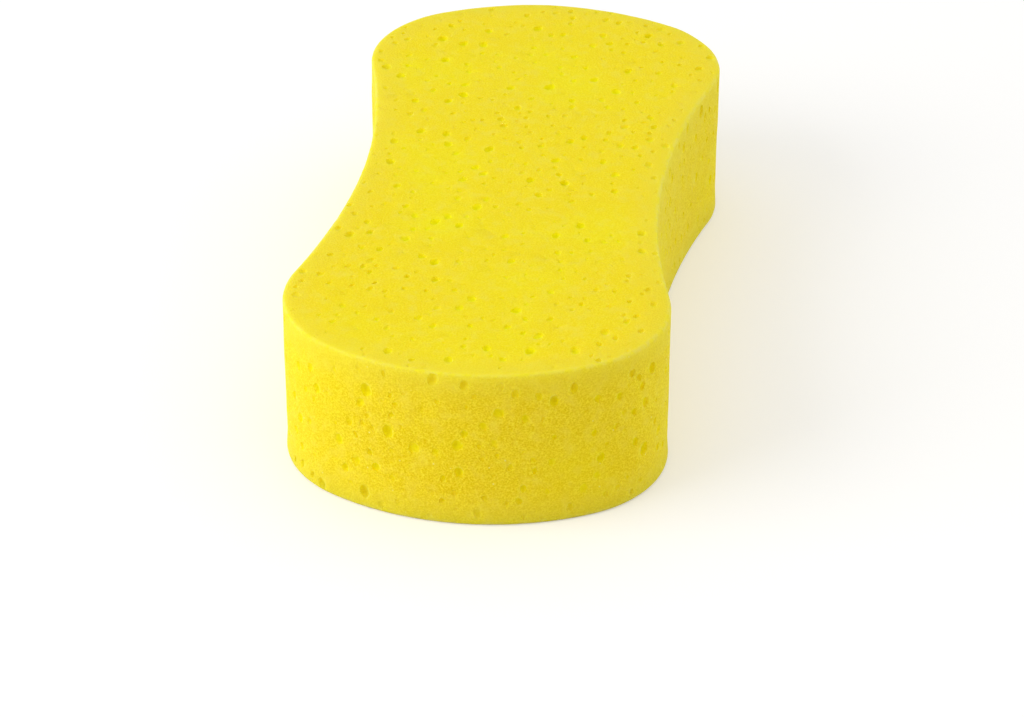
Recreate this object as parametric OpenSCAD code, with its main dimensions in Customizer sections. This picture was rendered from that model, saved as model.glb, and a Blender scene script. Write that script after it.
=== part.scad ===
// Cleaning sponge: one waisted block of open-cell foam, lying on its broad face.
// Units are millimetres. X runs along the block, Z is its thickness, and the
// origin is under the middle of the bottom face.

/* [Block] */
// Length of the block, end to end
block_length = 220; // [180:1:265]
// Width across the two lobes, at their widest
lobe_width = 105; // [90:1:130]
// Width at the waist, in the middle, where a hand grips it
waist_width = 86; // [66:1:102]
// Thickness of the foam
thickness = 47; // [30:1:70]

/* [Outline] */
// Radius of each of the four shoulders
shoulder_radius = 34; // [26:1:42]
// How far each end bows out beyond its two shoulders
end_bow = 5; // [3:0.5:9]
// Radius of the soft edge all round both broad faces
edge_radius = 1.8; // [1:0.1:3]

/* [Pores] */
// Mouth diameter of the smallest pores
pore_min = 1.8; // [1.4:0.1:2.4]
// Mouth diameter of the largest pores
pore_max = 3.4; // [2.6:0.1:4.2]
// Average distance between neighbouring pores
pore_pitch = 13; // [10.5:0.5:20]
// How deep a pore is for its mouth diameter
pore_depth_ratio = 0.6; // [0.4:0.05:0.75]
// Choice of the random pattern of pores
pattern = 7; // [1:1:50]

/* [Hidden] */
pore_facets = 20;
// Straight steps in an arc of the outline, in the short turn from the widest place
// of a lobe to the hollow, and in the quarter circle of the edge
arc_steps = 6;
lobe_steps = 2;
edge_steps = 3;

foam_yellow = "#f2dc30";

// The outline is made of tangent arcs: a long flat arc at each end, a tight
// one at each shoulder and a wide hollow one along each side of the waist.
// lobe_station is where a lobe is widest, right beside its shoulders' centres.
half_length = block_length / 2;
half_width = lobe_width / 2;
waist_dip = (lobe_width - waist_width) / 2;
end_gap = shoulder_radius + end_bow;
lobe_station = half_length - end_gap;
shoulder_y = half_width - shoulder_radius;

// The hollow arc touches the shoulders from outside, centred beside the waist.
hollow_radius = (pow(lobe_station, 2) + pow(waist_dip, 2)) / (2 * waist_dip) - shoulder_radius;
hollow_y = waist_width / 2 + hollow_radius;

// The end arc holds the shoulders from inside, centred on the long axis.
end_radius = (pow(end_gap, 2) + pow(shoulder_y, 2) - pow(shoulder_radius, 2))
    / (2 * end_bow);
end_x = half_length - end_radius;

// Directions in which the arcs hand over to each other.
end_turn = atan2(shoulder_y, lobe_station - end_x);
hollow_turn = atan2(hollow_y - shoulder_y, lobe_station);

// Lengths of the three arcs in one quarter of the outline.
end_run = end_radius * end_turn * PI / 180;
shoulder_run = shoulder_radius * (180 - hollow_turn - end_turn) * PI / 180;
hollow_run = hollow_radius * (90 - hollow_turn) * PI / 180;
quarter_run = end_run + shoulder_run + hollow_run;

// Pores keep off the edge all round and off the middle of the broad faces.
pore_margin = pore_max / 2 + edge_radius + 0.8;
clear_middle = 9;

// Places along one quarter of the outline, drawn in by inset, from the middle of
// the end to the middle of the waist. Each arc keeps its centre and its steps.
function quarter_ring(inset) = [
    for (i = [0 : arc_steps - 1]) let (turn = end_turn * i / arc_steps)
        [end_x, 0] + (end_radius - inset) * [cos(turn), sin(turn)],
    for (i = [0 : arc_steps - 1]) let (turn = end_turn + (90 - end_turn) * i / arc_steps)
        [lobe_station, shoulder_y] + (shoulder_radius - inset) * [cos(turn), sin(turn)],
    for (i = [0 : lobe_steps - 1]) let (turn = 90 + (90 - hollow_turn) * i / lobe_steps)
        [lobe_station, shoulder_y] + (shoulder_radius - inset) * [cos(turn), sin(turn)],
    for (i = [0 : arc_steps]) let (turn = hollow_turn + (90 - hollow_turn) * i / arc_steps)
        [0, hollow_y] + (hollow_radius + inset) * [cos(turn), -sin(turn)],
];

// The whole outline, mirrored twice, with each shared end point taken once.
function ring(inset) =
    let (quarter = quarter_ring(inset), last = len(quarter) - 1)
    let (half = [
        each quarter,
        for (i = [last - 1 : -1 : 0]) [-quarter[i][0], quarter[i][1]],
    ])
    [each half, for (i = [len(half) - 2 : -1 : 1]) [half[i][0], -half[i][1]]];

// The block is a stack of such outlines: drawn in at both faces and full between
// them, so that a round edge runs all the way about.
module block() {
    levels = [
        for (i = [0 : edge_steps]) let (turn = 90 * i / edge_steps)
            [edge_radius * (1 - sin(turn)), edge_radius * (1 - cos(turn))],
        for (i = [edge_steps : -1 : 0]) let (turn = 90 * i / edge_steps)
            [edge_radius * (1 - sin(turn)), thickness - edge_radius * (1 - cos(turn))],
    ];
    n = len(ring(0));
    points = [for (level = levels) for (p = ring(level[0])) [p[0], p[1], level[1]]];
    walls = [
        for (j = [0 : len(levels) - 2]) for (i = [0 : n - 1]) let (next = (i + 1) % n)
            [j * n + i, (j + 1) * n + i, (j + 1) * n + next, j * n + next],
    ];
    bottom = [for (i = [0 : n - 1]) i];
    top = [for (i = [n - 1 : -1 : 0]) (len(levels) - 1) * n + i];
    polyhedron(points, [bottom, each walls, top]);
}

// Signed distance of a point from the outline, below zero inside it.
function outline_distance(x, y) =
    let (ax = abs(x), ay = abs(y))
    let (end_side = atan2(ay, ax - end_x) < end_turn)
    let (hollow_side = atan2(hollow_y - ay, ax) > hollow_turn && ay < hollow_y)
    end_side ? norm([ax - end_x, ay]) - end_radius
    : hollow_side ? hollow_radius - norm([ax, hollow_y - ay])
    : norm([ax - lobe_station, ay - shoulder_y]) - shoulder_radius;

// Place on the wall and the way it faces, for a distance run along a quarter
// of the outline from the middle of the end to the middle of the waist.
function wall_place(run) =
    run < end_run ? let (turn = run / end_radius * 180 / PI)
        [end_x + end_radius * cos(turn), end_radius * sin(turn), turn]
    : run < end_run + shoulder_run
        ? let (turn = end_turn + (run - end_run) / shoulder_radius * 180 / PI)
        [lobe_station + shoulder_radius * cos(turn), shoulder_y + shoulder_radius * sin(turn), turn]
    : let (turn = hollow_turn + (run - end_run - shoulder_run) / hollow_radius * 180 / PI)
        [hollow_radius * cos(turn), hollow_y - hollow_radius * sin(turn), 180 - turn];

// One pore is a round hollow whose mouth lies on the face at z = 0, which
// looks along +Z. draw is a random number from 0 to 1: most pores are small.
module pore(draw) {
    mouth = pore_min + (pore_max - pore_min) * pow(draw, 2);
    depth = mouth * pore_depth_ratio;
    radius = (pow(mouth / 2, 2) + pow(depth, 2)) / (2 * depth);
    translate([0, 0, radius - depth]) sphere(radius, $fn = pore_facets);
}

// Pores of a broad face: a grid of places, each shifted at random in its cell.
module face_pores(seed) {
    columns = floor(block_length / pore_pitch);
    rows = floor(lobe_width / pore_pitch);
    draws = rands(0, 1, 3 * columns * rows, seed);
    play = pore_pitch - pore_max - 1;
    for (i = [0 : columns - 1], j = [0 : rows - 1]) {
        k = 3 * (i * rows + j);
        x = (i - (columns - 1) / 2) * pore_pitch + (draws[k] - 0.5) * play;
        y = (j - (rows - 1) / 2) * pore_pitch + (draws[k + 1] - 0.5) * play;
        if (outline_distance(x, y) < -pore_margin && norm([x, y]) > clear_middle)
            translate([x, y, 0]) pore(draws[k + 2]);
    }
}

// Pores of the wall, in the same way: steps run along the outline and up it.
module wall_pores(seed) {
    steps = floor(4 * quarter_run / pore_pitch);
    step = 4 * quarter_run / steps;
    height = thickness - 2 * pore_margin;
    rows = floor(height / pore_pitch) + 1;
    draws = rands(0, 1, 3 * steps * rows, seed);
    play = pore_pitch - pore_max - 1;
    for (i = [0 : steps - 1], j = [0 : rows - 1]) {
        k = 3 * (i * rows + j);
        run = i * step + draws[k] * play;
        z = pore_margin + height * (j + 0.15 + 0.7 * draws[k + 1]) / rows;
        quarter = floor(run / quarter_run) % 4;
        part = run % quarter_run;
        odd = quarter % 2 == 1;
        place = wall_place(odd ? quarter_run - part : part);
        turn_x = quarter == 1 || quarter == 2 ? 1 : 0;
        turn_y = quarter >= 2 ? 1 : 0;
        mirror([turn_x, 0, 0]) mirror([0, turn_y, 0])
            translate([place[0], place[1], z]) rotate([0, 90, place[2]]) pore(draws[k + 2]);
    }
}

module sponge() {
    color(foam_yellow) difference() {
        block();
        translate([0, 0, thickness]) face_pores(pattern);
        mirror([0, 0, 1]) face_pores(pattern + 100);
        wall_pores(pattern + 200);
    }
}

sponge();
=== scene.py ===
# %% [markdown]
# # A waisted cleaning sponge
# The object is one block of open-cell foam, cut to an outline like a figure eight
# and full of bubbles. This lesson shapes the block, cuts its bubbles out of it as
# real hollows, gives it a material with the foam's finer cells, and lights it as
# in a bright product photograph. Everything is in metres.

# %% Load the frame
import math
import random
from itertools import product

import bmesh
import bpy
from mathutils import Matrix, Vector, noise


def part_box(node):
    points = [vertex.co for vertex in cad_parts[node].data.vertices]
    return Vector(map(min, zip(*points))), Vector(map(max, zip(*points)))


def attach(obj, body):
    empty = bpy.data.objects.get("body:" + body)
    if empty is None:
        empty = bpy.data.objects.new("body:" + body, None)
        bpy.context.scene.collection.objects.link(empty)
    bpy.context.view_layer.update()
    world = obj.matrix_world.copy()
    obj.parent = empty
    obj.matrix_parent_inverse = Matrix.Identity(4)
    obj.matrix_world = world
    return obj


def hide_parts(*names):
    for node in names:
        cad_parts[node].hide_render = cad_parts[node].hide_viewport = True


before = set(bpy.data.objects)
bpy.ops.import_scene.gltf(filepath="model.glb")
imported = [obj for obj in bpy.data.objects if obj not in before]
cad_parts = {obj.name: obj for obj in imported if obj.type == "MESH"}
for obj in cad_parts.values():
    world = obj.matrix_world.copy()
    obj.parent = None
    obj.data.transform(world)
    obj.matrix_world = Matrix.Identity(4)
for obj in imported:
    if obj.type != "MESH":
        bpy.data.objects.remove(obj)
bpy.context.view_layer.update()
print("solids:", list(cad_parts))

# %% [markdown]
# ## The sizes
# The solid's own box says how long, wide and thick the block is. The outline is
# made of tangent arcs, and three more sizes settle them all: the width at the
# waist, the radius of the shoulders, and how far each end bows out. Arcs are chosen
# over a free curve because a few numbers hold them, and because the distance from
# an arc is easy to work out, which the bubbles and the colours need later.

# %% Sizes of the block and the arcs of its outline
MM = 0.001
low, high = (Vector(corner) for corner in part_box("sponge"))
length, width, thickness = high - low
waist_width = 86 * MM
shoulder_radius = 34 * MM
end_bow = 5 * MM
edge_radius = 1.0 * MM

half_length = length / 2
waist_dip = (width - waist_width) / 2
lobe_station = half_length - shoulder_radius - end_bow
shoulder = Vector((lobe_station, width / 2 - shoulder_radius, 0))

hollow_radius = (lobe_station**2 + waist_dip**2) / (2 * waist_dip) - shoulder_radius
hollow = Vector((0, waist_width / 2 + hollow_radius, 0))
end_gap = shoulder_radius + end_bow
end_radius = (end_gap**2 + shoulder.y**2 - shoulder_radius**2) / (2 * end_bow)
end = Vector((half_length - end_radius, 0, 0))

end_turn = math.atan2(shoulder.y, shoulder.x - end.x)
hollow_turn = math.atan2(hollow.y - shoulder.y, shoulder.x)
print(f"block {length:.3f} x {width:.3f} x {thickness:.3f}, end radius {end_radius:.4f}")

# %% [markdown]
# ## The block
# A hot wire or a die cuts such a block from a big bun of foam, so its walls stand
# straight and its edges are only a little soft. A curve could be extruded and
# bevelled to give this form. Here a single vertex is swept along the three arcs of
# a quarter of the outline, mirrored twice, filled and raised, because that leaves
# a plain closed mesh, ready to be cut. Planes then slice the block into a net of
# small faces. They keep the later cuts clean, and they let the surface waver.

# %% Sweep a quarter of the outline and mirror it
end_steps = 9
shoulder_steps = 20
hollow_steps = 16
touching = 0.01 * MM


def sweep(bm, vertex, centre, turn, steps):
    """Sweeps a vertex round a centre and returns the last vertex that it makes."""
    made = bmesh.ops.spin(
        bm, geom=[vertex], cent=centre, axis=(0, 0, 1), dvec=(0, 0, 0), angle=turn, steps=steps
    )
    return next(part for part in made["geom_last"] if isinstance(part, bmesh.types.BMVert))


def outline(bm):
    """Draws the closed outline of the block, at z = 0."""
    vertex = bm.verts.new((half_length, 0, 0))
    vertex = sweep(bm, vertex, end, end_turn, end_steps)
    vertex = sweep(bm, vertex, shoulder, math.pi - hollow_turn - end_turn, shoulder_steps)
    sweep(bm, vertex, hollow, hollow_turn - math.pi / 2, hollow_steps)
    for axis in "XY":
        whole = bm.verts[:] + bm.edges[:]
        bmesh.ops.mirror(bm, geom=whole, axis=axis, merge_dist=touching)
    bmesh.ops.remove_doubles(bm, verts=bm.verts[:], dist=touching)


# %% Raise the block, soften its edges and slice it into a net
edge_segments = 3
on_plane = 0.001 * MM


def slice_all(bm, axis, start, stop, pitch):
    """Cuts the whole mesh by parallel planes, about a pitch apart."""
    count = round((stop - start) / pitch)
    for i in range(1, count):
        place = Vector((0, 0, 0))
        place[axis] = start + (stop - start) * i / count
        normal = Vector((0, 0, 0))
        normal[axis] = 1
        parts = bm.verts[:] + bm.edges[:] + bm.faces[:]
        bmesh.ops.bisect_plane(bm, geom=parts, dist=on_plane, plane_co=place, plane_no=normal)


def block_mesh(net_pitch):
    """The closed block without its bubbles."""
    bm = bmesh.new()
    outline(bm)
    bmesh.ops.contextual_create(bm, geom=bm.edges[:])
    floor_face = bm.faces[:]
    raised = bmesh.ops.extrude_face_region(bm, geom=floor_face, use_keep_orig=True)
    tops = [part for part in raised["geom"] if isinstance(part, bmesh.types.BMVert)]
    bmesh.ops.translate(bm, verts=tops, vec=(0, 0, thickness))
    bmesh.ops.recalc_face_normals(bm, faces=bm.faces[:])
    rims = [edge for edge in bm.edges if abs(edge.verts[0].co.z - edge.verts[1].co.z) < MM]
    bmesh.ops.bevel(
        bm, geom=rims, offset=edge_radius, segments=edge_segments, profile=0.5,
        affect="EDGES", material=-1, clamp_overlap=False,
    )
    for axis in range(3):
        slice_all(bm, axis, low[axis], high[axis], net_pitch)
    bmesh.ops.triangulate(bm, faces=bm.faces[:])
    bmesh.ops.recalc_face_normals(bm, faces=bm.faces[:])
    return bm


block = block_mesh(net_pitch=6 * MM)
closed = all(edge.is_manifold for edge in block.edges)
print("block:", len(block.verts), "vertices,", len(block.faces), "faces, closed:", closed)

# %% [markdown]
# ## Where the surface is
# Bubbles sit on the surface, and the paler rim follows its edges, so both need
# to know how far a point is from the outline. The nearest point of a mesh could be
# searched for, but the arcs answer at once: each rules one stretch of the outline,
# from one hand-over line to the next.


# %% Distance from the outline, and places along it
def outline_distance(x, y):
    """Signed distance from the outline: below zero inside the block."""
    place = Vector((abs(x), abs(y), 0))
    from_end = place - end
    from_hollow = place - hollow
    if math.atan2(from_end.y, from_end.x) < end_turn:
        return from_end.length - end_radius
    if math.atan2(-from_hollow.y, from_hollow.x) > hollow_turn:
        return hollow_radius - from_hollow.length
    return (place - shoulder).length - shoulder_radius


end_run = end_radius * end_turn
shoulder_run = shoulder_radius * (math.pi - hollow_turn - end_turn)
hollow_run = hollow_radius * (math.pi / 2 - hollow_turn)
quarter_run = end_run + shoulder_run + hollow_run


def wall_place(run):
    """The point a run along a quarter of the outline, and the way its wall faces."""
    if run < end_run:
        turn = run / end_radius
        facing = Vector((math.cos(turn), math.sin(turn), 0))
        return end + end_radius * facing, facing
    if run < end_run + shoulder_run:
        turn = end_turn + (run - end_run) / shoulder_radius
        facing = Vector((math.cos(turn), math.sin(turn), 0))
        return shoulder + shoulder_radius * facing, facing
    turn = hollow_turn + (run - end_run - shoulder_run) / hollow_radius
    outward = Vector((math.cos(turn), -math.sin(turn), 0))
    return hollow + hollow_radius * outward, -outward


print(f"outline {4 * quarter_run:.3f} m round")

# %% [markdown]
# ## The surface wavers
# Foam gives way to the blade that cuts it, so no face is quite flat and no edge
# quite even. A Displace modifier could do this, but a few lines say it more
# exactly: smooth noise lets each vertex sink along its normal, by a fifth of a
# millimetre on average and by about half at most. None moves outwards, so the
# block stays in its solid's box, and the face that it lies on stays flat.

# %% Waver the surface
foot_height = 6 * MM
ripple_share = 0.4
ripple_ratio = 0.3
untouched_above = 0.6


def waver(bm, reach, wave):
    """Lets the vertices sink along their normals by smooth noise in two sizes."""
    bm.normal_update()
    for vertex in bm.verts:
        lift = min(1, max(0, vertex.co.z / foot_height))
        ripple = noise.noise(vertex.co / (wave * ripple_ratio))
        amount = noise.noise(vertex.co / wave) + ripple_share * ripple
        vertex.co += vertex.normal * reach * lift * min(0, amount - untouched_above)


waver(block, reach=0.35 * MM, wave=30 * MM)
heights = [vertex.co.z for vertex in block.verts]
print(f"heights from {min(heights):.4f} to {max(heights):.4f}")

# %% [markdown]
# ## The bubbles
# The cut lays open every bubble that it meets. They are ovals, upright on the
# walls and lengthwise on the broad faces, because the foam moved while it set. A
# bump in the material would only hint at them, so they are real hollows. Each is
# egg-shaped and sunk by a random share of its size, so some are deep and some are
# shallow dents. Most are small, and a few are large. They are thrown at random and
# kept apart, so that one Boolean cut can take them all. A second cut widens some
# of them sideways into the uneven shapes of joined bubbles.
# The random numbers and the noise both get a seed, so that every run makes the
# same sponge: Blender's vector noise is set by the clock if it has none.

# %% Throw the bubbles
seed = 20
draw = random.Random(seed)
noise.seed_set(seed)
stretch = 1.35
least_gap = 0.35 * MM
edge_room = 0.3 * MM
face_bubbles = 600
face_widths = (1.4 * MM, 3.1 * MM)
face_sinks = (-0.32, 0.08)
wall_bubbles = 640
wall_widths = (1.6 * MM, 3.5 * MM)
wall_sinks = (-0.3, 0.1)


def bubble_width(smallest, largest):
    """Diameter of a random bubble: squaring the draw makes most of them small."""
    return smallest + (largest - smallest) * draw.random() ** 2


class Scatter:
    """Bubbles thrown so far, kept in cubic cells to find near ones quickly."""

    def __init__(self, cell):
        self.cell = cell
        self.cells = {}
        self.bubbles = []

    def key(self, place):
        return tuple(math.floor(part / self.cell) for part in place)

    def is_free(self, place, reach):
        at = self.key(place)
        for step in product((-1, 0, 1), repeat=3):
            near = tuple(part + move for part, move in zip(at, step))
            for other, span in self.cells.get(near, ()):
                if (other - place).length < reach + span:
                    return False
        return True

    def add(self, place, facing, diameter):
        """Keeps a bubble if nothing is too near, and says whether it did."""
        reach = stretch * diameter / 2 + least_gap
        if not self.is_free(place, reach):
            return False
        self.cells.setdefault(self.key(place), []).append((place, reach))
        self.bubbles.append((place, facing, diameter))
        return True


scatter = Scatter(cell=5 * MM)

for height, facing in ((thickness, Vector((0, 0, 1))), (0, Vector((0, 0, -1)))):
    kept = 0
    while kept < face_bubbles:
        x = draw.uniform(-half_length, half_length)
        y = draw.uniform(-width / 2, width / 2)
        diameter = bubble_width(*face_widths)
        if outline_distance(x, y) < -diameter / 2 - edge_room:
            sink = draw.uniform(*face_sinks) * diameter
            kept += scatter.add(Vector((x, y, height)) - facing * sink, facing, diameter)

kept = 0
while kept < wall_bubbles:
    place, facing = wall_place(draw.uniform(0, quarter_run))
    sides = Vector((draw.choice((-1, 1)), draw.choice((-1, 1)), 1))
    diameter = bubble_width(*wall_widths)
    room = stretch * diameter / 2 + edge_room
    place = (place * sides) + Vector((0, 0, draw.uniform(room, thickness - room)))
    facing = facing * sides
    sink = draw.uniform(*wall_sinks) * diameter
    kept += scatter.add(place - facing * sink, facing, diameter)

print(len(scatter.bubbles), "bubbles")

# %% Shape the bubbles
most_tilt = 0.4
lump_size = 0.9 * MM
lump_reach = 0.3 * MM


def bubble_object(name, bubbles, batch=50):
    """One mesh of egg-shaped bubbles, to cut with, put together from small batches."""
    whole = bmesh.new()
    for start in range(0, len(bubbles), batch):
        bm = bmesh.new()
        for place, facing, diameter in bubbles[start:start + batch]:
            longer = (stretch, 1, 1, 1) if facing.z else (1, 1, stretch, 1)
            turn = Matrix.Rotation(draw.uniform(-most_tilt, most_tilt), 4, facing)
            shape = Matrix.Translation(place) @ turn @ Matrix.Diagonal(longer)
            bmesh.ops.create_icosphere(bm, subdivisions=2, radius=diameter / 2, matrix=shape)
        for vertex in bm.verts:
            vertex.co += noise.noise_vector(vertex.co / lump_size) * lump_reach
        some = bpy.data.meshes.new("some_bubbles")
        bm.to_mesh(some)
        bm.free()
        whole.from_mesh(some)
        bpy.data.meshes.remove(some)
    mesh = bpy.data.meshes.new(name)
    whole.to_mesh(mesh)
    whole.free()
    cutter = bpy.data.objects.new(name, mesh)
    bpy.context.scene.collection.objects.link(cutter)
    return cutter


# %% Choose the bubbles that are joined by a second one
joined_share = 0.45
joined_shift = 0.28
joined_lift = 0.1
joined_sizes = (0.6, 0.75)


def sideways(facing):
    """A random direction along the surface."""
    across = facing.cross(Vector((0, 0, 1)))
    if across.length < 0.5:
        turn = draw.uniform(0, 2 * math.pi)
        return Vector((math.cos(turn), math.sin(turn), 0))
    lean = Vector((0, 0, draw.uniform(-1, 1)))
    return (across * draw.choice((-1, 1)) + lean).normalized()


second_bubbles = []
for place, facing, diameter in scatter.bubbles:
    if draw.random() < joined_share:
        shift = sideways(facing) * diameter * joined_shift - facing * diameter * joined_lift
        size = diameter * draw.uniform(*joined_sizes)
        second_bubbles.append((place + shift, facing, size))
print(len(scatter.bubbles), "bubbles in the first cut,", len(second_bubbles), "in the second")

# %% [markdown]
# ## Cutting the bubbles
# A Boolean modifier takes each set of bubbles away from the block, and is applied
# at once, so that no cutter is left in the scene. The cut leaves slivers thinner
# than a hair. The shortest edges are dissolved, and only so short ones, because
# more would tear the mesh open. Smooth shading makes the faceted hollows round,
# and the edges round their mouths are kept sharp.


# %% Cut them out
def cut(piece, cutter):
    """Takes the cutter away from the piece for good."""
    boolean = piece.modifiers.new("bubbles", "BOOLEAN")
    boolean.operation = "DIFFERENCE"
    boolean.solver = "MANIFOLD"
    boolean.object = cutter
    view = bpy.context.evaluated_depsgraph_get()
    cut_mesh = bpy.data.meshes.new_from_object(piece.evaluated_get(view))
    old_mesh = piece.data
    piece.modifiers.clear()
    piece.data = cut_mesh
    bpy.data.meshes.remove(old_mesh)
    bpy.data.objects.remove(cutter)


mesh = bpy.data.meshes.new("foam_block")
block.to_mesh(mesh)
block.free()
sponge = bpy.data.objects.new("foam_block", mesh)
bpy.context.scene.collection.objects.link(sponge)
cut(sponge, bubble_object("first_bubbles", scatter.bubbles))
cut(sponge, bubble_object("second_bubbles", second_bubbles))
print("cut mesh:", len(sponge.data.polygons), "faces")

# %% Tidy the cut mesh and shade it
sliver = 0.0002 * MM
sharp_turn = math.radians(38)
foam = bmesh.new()
foam.from_mesh(sponge.data)
bmesh.ops.triangulate(foam, faces=foam.faces[:])
bmesh.ops.dissolve_degenerate(foam, dist=sliver, edges=foam.edges[:])
bmesh.ops.triangulate(foam, faces=foam.faces[:])
for face in foam.faces:
    face.smooth = True
for edge in foam.edges:
    edge.smooth = edge.calc_face_angle(0) < sharp_turn
open_edges = sum(not edge.is_manifold for edge in foam.edges)
print("foam block:", len(foam.faces), "faces,", open_edges, "open edges")
foam.to_mesh(sponge.data)
foam.free()
sponge.data.name = "foam_block"

# %% [markdown]
# ## Shader maths
# A material is a net of nodes. Written out one by one they are hard to read, so
# a small class wraps a socket and lets plain arithmetic add the Math nodes.


# %% A socket that does arithmetic
class Signal:
    """One output socket of a recipe. Arithmetic on it adds Math nodes."""

    def __init__(self, recipe, socket):
        self.recipe = recipe
        self.socket = socket

    def math(self, operation, *others):
        inputs = dict(enumerate((self,) + others))
        return self.recipe.node("ShaderNodeMath", inputs, operation=operation)

    def __add__(self, other):
        return self.math("ADD", other)

    def __mul__(self, other):
        return self.math("MULTIPLY", other)

    def __sub__(self, other):
        return self.math("SUBTRACT", other)

    def __rsub__(self, other):
        return self * -1 + other

    def __pow__(self, other):
        return self.math("POWER", other)

    def __abs__(self):
        return self.math("ABSOLUTE")

    def __lt__(self, other):
        return self.math("LESS_THAN", other)

    def __gt__(self, other):
        return self.math("GREATER_THAN", other)

    __radd__ = __add__
    __rmul__ = __mul__

    def least(self, other):
        return self.math("MINIMUM", other)

    def also(self, output):
        """Another output of the same node."""
        return Signal(self.recipe, self.socket.node.outputs[output])

    def fade(self, start, stop):
        """0 at start and 1 at stop, with a soft step between them."""
        inputs = {"Value": self, "From Min": start, "From Max": stop}
        return self.recipe.node("ShaderNodeMapRange", inputs, interpolation_type="SMOOTHSTEP")


class Recipe:
    """The nodes of one owner, a material or a world."""

    def __init__(self, owner):
        owner.use_nodes = True
        self.owner = owner
        self.tree = owner.node_tree
        self.tree.nodes.clear()

    def node(self, kind, inputs=None, output=0, **settings):
        """Adds a node, sets it up and feeds it, and returns one of its outputs."""
        made = self.tree.nodes.new(kind)
        for key, value in settings.items():
            setattr(made, key, value)
        for key, value in (inputs or {}).items():
            if isinstance(value, Signal):
                self.tree.links.new(value.socket, made.inputs[key])
            else:
                made.inputs[key].default_value = value
        return Signal(self, made.outputs[output]) if made.outputs else None

    def mix(self, factor, first, second):
        """Mixes two colours."""
        inputs = {0: factor, 6: first, 7: second}
        return self.node("ShaderNodeMix", inputs, output=2, data_type="RGBA")


print("shader maths ready")

# %% [markdown]
# ## The foam
# Up close the foam isn't one yellow. Towards the edges it turns paler and less red:
# painted shade that holds down the light the rounded edges catch, and the pale cast
# of light grazing them. On the edge itself the cut leaves a broken fringe of bare
# cell walls. Inside a bubble the yellow is brighter and deeper, a painted light that
# stands for the light soaking through the foam into the hollow. On the walls the
# openings are darker and more orange, painted warm shade, and the cell walls
# brighter, painted grazing light. All over, the finest cells, about half a
# millimetre across, make a grain of bright walls and dark openings, with a pale
# veil in places, and on the walls a few bright crumbs. Light goes a few
# millimetres into foam before it comes out again, which Subsurface gives.
# A painted picture could show all this, but patterns made by nodes need no file
# and never repeat. The edge shade, the fringe and the bubbles' painted light follow
# from where a point lies in the block, so the material works out its distance from
# the outline with the same arcs.

# %% The colours of the foam
face_opening = (0.92, 0.69, 0.005, 1)
face_cell = (0.99, 0.78, 0.03, 1)
# The hollow yellows are brighter than the foam round them: painted light for the light that
# soaks into the bubbles.
face_hollow_painted_light = (0.95, 0.87, 0.002, 1)
# The wall colours: darker, more orange openings are painted warm shade, and brighter cell
# walls are painted grazing light.
wall_opening_painted_shade = (0.79, 0.58, 0.0005, 1)
wall_cell_painted_light = (1.0, 0.81, 0.045, 1)
wall_hollow_painted_light = (0.97, 0.83, 0.004, 1)
veil_yellow = (0.93, 0.75, 0.07, 1)
crumb_yellow = (0.98, 0.90, 0.25, 1)
# Paler and less red towards the edges: painted shade against the light the rounded edges
# catch, and the pale cast of grazing light.
edge_shade_yellow = (0.78, 0.69, 0.05, 1)
fringe_yellow = (0.81, 0.70, 0.18, 1)

# %% How much of each layer shows
cloud_share = 0.25
veil_share = 0.5
crumb_share = 0.8
hollow_light_share = 0.9
edge_shade_share = 0.5
fringe_share = 0.6

# %% How fine each pattern is, in spots to a metre
cell_density = 1700.0
speck_density = 2200.0
cloud_density = 60.0
veil_density = 260.0
crumb_density = 210.0
fringe_density = 300.0


# %% Where a point lies in the block
def depths(place):
    """How far a point of the block is from the wall and from the nearer broad face."""
    recipe = place.recipe
    along = recipe.node("ShaderNodeSeparateXYZ", {0: place})
    x = abs(along)
    y = abs(along.also("Y"))
    z = along.also("Z")

    def gap(centre):
        return ((x - centre.x) ** 2 + (y - centre.y) ** 2) ** 0.5

    at_end = y < (x - end.x) * math.tan(end_turn)
    at_hollow = (hollow.y - y) > x * math.tan(hollow_turn)
    by_end = end_radius - gap(end)
    by_hollow = gap(hollow) - hollow_radius
    by_shoulder = shoulder_radius - gap(shoulder)
    beside_end = by_hollow * at_hollow + by_shoulder * (1 - at_hollow)
    into_wall = by_end * at_end + beside_end * (1 - at_end)
    return into_wall, z.least(thickness - z)


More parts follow.
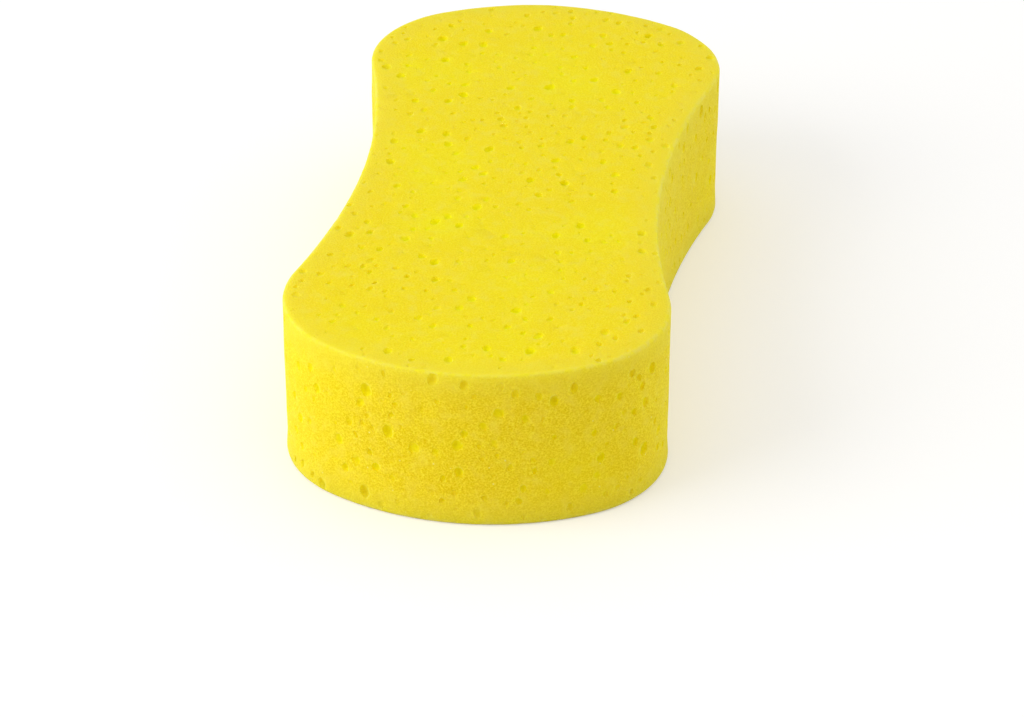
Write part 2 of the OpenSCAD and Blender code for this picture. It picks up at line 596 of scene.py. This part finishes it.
# %% Make the foam
def foam_material():
    """Open-cell foam with a fine grain, painted shade at the edges, painted light in the
    bubbles, and painted shade and light on the walls.
    """
    recipe = Recipe(bpy.data.materials.new("yellow_foam"))
    place = recipe.node("ShaderNodeTexCoord", output="Object")

    def clouds(density, detail):
        inputs = {"Vector": place, "Scale": density, "Detail": detail}
        return recipe.node("ShaderNodeTexNoise", inputs)

    def spots(density):
        inputs = {"Vector": place, "Scale": density}
        return recipe.node("ShaderNodeTexVoronoi", inputs, output="Distance")

    into_wall, into_face = depths(place)
    on_wall = (into_face - into_wall).fade(-0.5 * MM, 0.5 * MM)
    # On the walls the colours hold painted shade in the openings and painted grazing light on
    # the cell walls.
    opening = recipe.mix(on_wall, face_opening, wall_opening_painted_shade)
    cell = recipe.mix(on_wall, face_cell, wall_cell_painted_light)
    hollow_painted_light = recipe.mix(on_wall, face_hollow_painted_light, wall_hollow_painted_light)

    cells = spots(cell_density)
    specks = clouds(speck_density, 2.0)
    grain = cells.fade(0.1, 0.8) * 0.5 + specks.fade(0.35, 0.65) * 0.5
    cloud = clouds(cloud_density, 3.0)
    veil = clouds(veil_density, 2.0).fade(0.45, 0.75)
    crumbs = spots(crumb_density).fade(0.07, 0.03) * on_wall
    # Painted light: the deeper into a bubble, the more of the brighter hollow yellow shows.
    bubble = into_wall.least(into_face).fade(0.15 * MM, 1.0 * MM)

    from_edge = (into_wall**2 + into_face**2) ** 0.5
    # Painted shade and pale grazing light, strongest near the edges.
    edge_shade = from_edge.fade(12 * MM, 0.5 * MM)
    tufts = clouds(fringe_density, 4.0)
    ragged = from_edge + (tufts - 0.5) * (2.4 * MM)
    fringe = ragged.fade(1.8 * MM, 0.2 * MM) * tufts.fade(0.4, 0.6)

    colour = recipe.mix(grain**1.5 + (cloud - 0.5) * cloud_share, opening, cell)
    layers = (
        (veil * veil_share, veil_yellow),
        (crumbs * crumb_share, crumb_yellow),
        (bubble * hollow_light_share, hollow_painted_light),
        (edge_shade * edge_shade_share, edge_shade_yellow),
        (fringe * fringe_share, fringe_yellow),
    )
    for share, layer_yellow in layers:
        colour = recipe.mix(share, colour, layer_yellow)

    height = cells * 0.6 + specks * 0.4
    bump = recipe.node(
        "ShaderNodeBump", {"Height": height, "Strength": 0.5, "Distance": 0.35 * MM}
    )
    surface = recipe.node(
        "ShaderNodeBsdfPrincipled",
        {
            "Base Color": colour,
            "Roughness": 0.95,
            "Specular IOR Level": 0.05,
            "Sheen Weight": 0.05,
            "Sheen Roughness": 0.4,
            "Subsurface Weight": 0.9,
            "Subsurface Radius": (0.8, 0.8, 0.2),
            "Subsurface Scale": 5 * MM,
            "Normal": bump,
        },
    )
    recipe.node("ShaderNodeOutputMaterial", {"Surface": surface})
    return recipe.owner


sponge.data.materials.clear()
sponge.data.materials.append(foam_material())
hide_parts("sponge")
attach(sponge, "root")
print("foam material on", sponge.name)

# %% [markdown]
# ## The floor
# The sponge lies on a plain white sheet. It is diffuse, so it keeps a soft shadow,
# and a little glow lifts the rest to white. The glow shows only to the camera and
# in what is glossy or clear, so it doesn't light the sponge. The sheet lies a
# hair lower than the block's own bottom, because two faces in one plane flicker.

# %% Lay the floor
floor_reach = 3.0
floor_gap = 0.05 * MM
floor_white = 0.82
floor_glow = 0.26


def backdrop_only(recipe):
    """1 for what the camera sees, also by way of gloss or of something clear."""
    path = recipe.node("ShaderNodeLightPath", output="Is Camera Ray")
    return (path + path.also("Is Glossy Ray") + path.also("Is Transmission Ray")).least(1)


def floor_material():
    """White, with a glow that lights nothing."""
    recipe = Recipe(bpy.data.materials.new("white_floor"))
    full_glow = (floor_glow, floor_glow, floor_glow, 1)
    glow = recipe.mix(backdrop_only(recipe), (0, 0, 0, 1), full_glow)
    surface = recipe.node(
        "ShaderNodeBsdfPrincipled",
        {
            "Base Color": (floor_white, floor_white, floor_white, 1),
            "Roughness": 0.9,
            "Specular IOR Level": 0.0,
            "Emission Color": glow,
            "Emission Strength": 1.0,
        },
    )
    recipe.node("ShaderNodeOutputMaterial", {"Surface": surface})
    return recipe.owner


sheet = bmesh.new()
below = Matrix.Translation((0, 0, -floor_gap))
bmesh.ops.create_grid(sheet, x_segments=1, y_segments=1, size=floor_reach, matrix=below)
floor_mesh = bpy.data.meshes.new("floor")
sheet.to_mesh(floor_mesh)
sheet.free()
floor = bpy.data.objects.new("floor", floor_mesh)
floor.data.materials.append(floor_material())
bpy.context.scene.collection.objects.link(floor)
print("floor", floor_reach * 2, "m across")

# %% [markdown]
# ## Camera
# The photograph looks along the block from a little to its right and from about
# 31 degrees above, through a long lens. A constraint could aim the camera at the
# block, but then it would also choose what lies in the middle of the picture. So
# the camera's axes are built from three angles, and the block lands on the pixels
# where the photograph shows it.

# %% Place the camera
photo_width = 1024
focal_pixels = 3789
sensor = 36.0
camera_place = Vector((-0.9378, -0.1286, 0.5614))
heading = math.radians(7.816)
pitch = math.radians(31.319)
roll = math.radians(0.06)

forward = Vector((
    math.cos(pitch) * math.cos(heading), math.cos(pitch) * math.sin(heading), -math.sin(pitch),
))
level_right = Vector((math.sin(heading), -math.cos(heading), 0))
level_up = level_right.cross(forward)
right = level_right * math.cos(roll) + level_up * math.sin(roll)
up = right.cross(forward)
aim = Matrix((right, up, -forward)).transposed().to_4x4()

lens = bpy.data.cameras.new("camera")
lens.sensor_width = sensor
lens.lens = focal_pixels / photo_width * sensor
lens.clip_start = 0.01
camera = bpy.data.objects.new("camera", lens)
camera.matrix_world = Matrix.Translation(camera_place) @ aim
bpy.context.scene.collection.objects.link(camera)
bpy.context.scene.camera = camera
print(f"camera at {tuple(round(part, 3) for part in camera_place)}, lens {lens.lens:.1f} mm")

# %% [markdown]
# ## Light
# The light of a white studio comes from everywhere, and a little more from the
# camera's left. A white world gives the even part, one broad panel on the left
# gives the rest, and a weak warm one on the right keeps that side from going dull.
# The camera sees plain white beyond the floor. One sun lamp would be simpler, but
# its shadows are too hard for this.


# %% Light the block
def panel(name, place, size, power, colour=(1, 1, 1)):
    """A square light panel that faces the block."""
    light = bpy.data.lights.new(name, "AREA")
    light.color = colour
    light.size = size
    light.energy = power
    lamp = bpy.data.objects.new(name, light)
    towards = Vector((0, 0, thickness / 2)) - Vector(place)
    lamp.location = place
    lamp.rotation_euler = towards.to_track_quat("-Z", "Y").to_euler()
    bpy.context.scene.collection.objects.link(lamp)


panel("left_panel", place=(-0.50, 0.98, 0.60), size=1.0, power=8.0)
panel("right_fill", place=(0.30, -1.10, 0.40), size=1.0, power=2.2, colour=(1.0, 0.90, 0.68))

studio = Recipe(bpy.data.worlds.new("studio"))
even_light = 0.725
level = even_light + (1 - even_light) * backdrop_only(studio)
sky = studio.node("ShaderNodeBackground", {"Color": (1, 1, 1, 1), "Strength": level})
studio.node("ShaderNodeOutputWorld", {"Surface": sky})
bpy.context.scene.world = studio.owner
bpy.context.scene.view_settings.view_transform = "Standard"
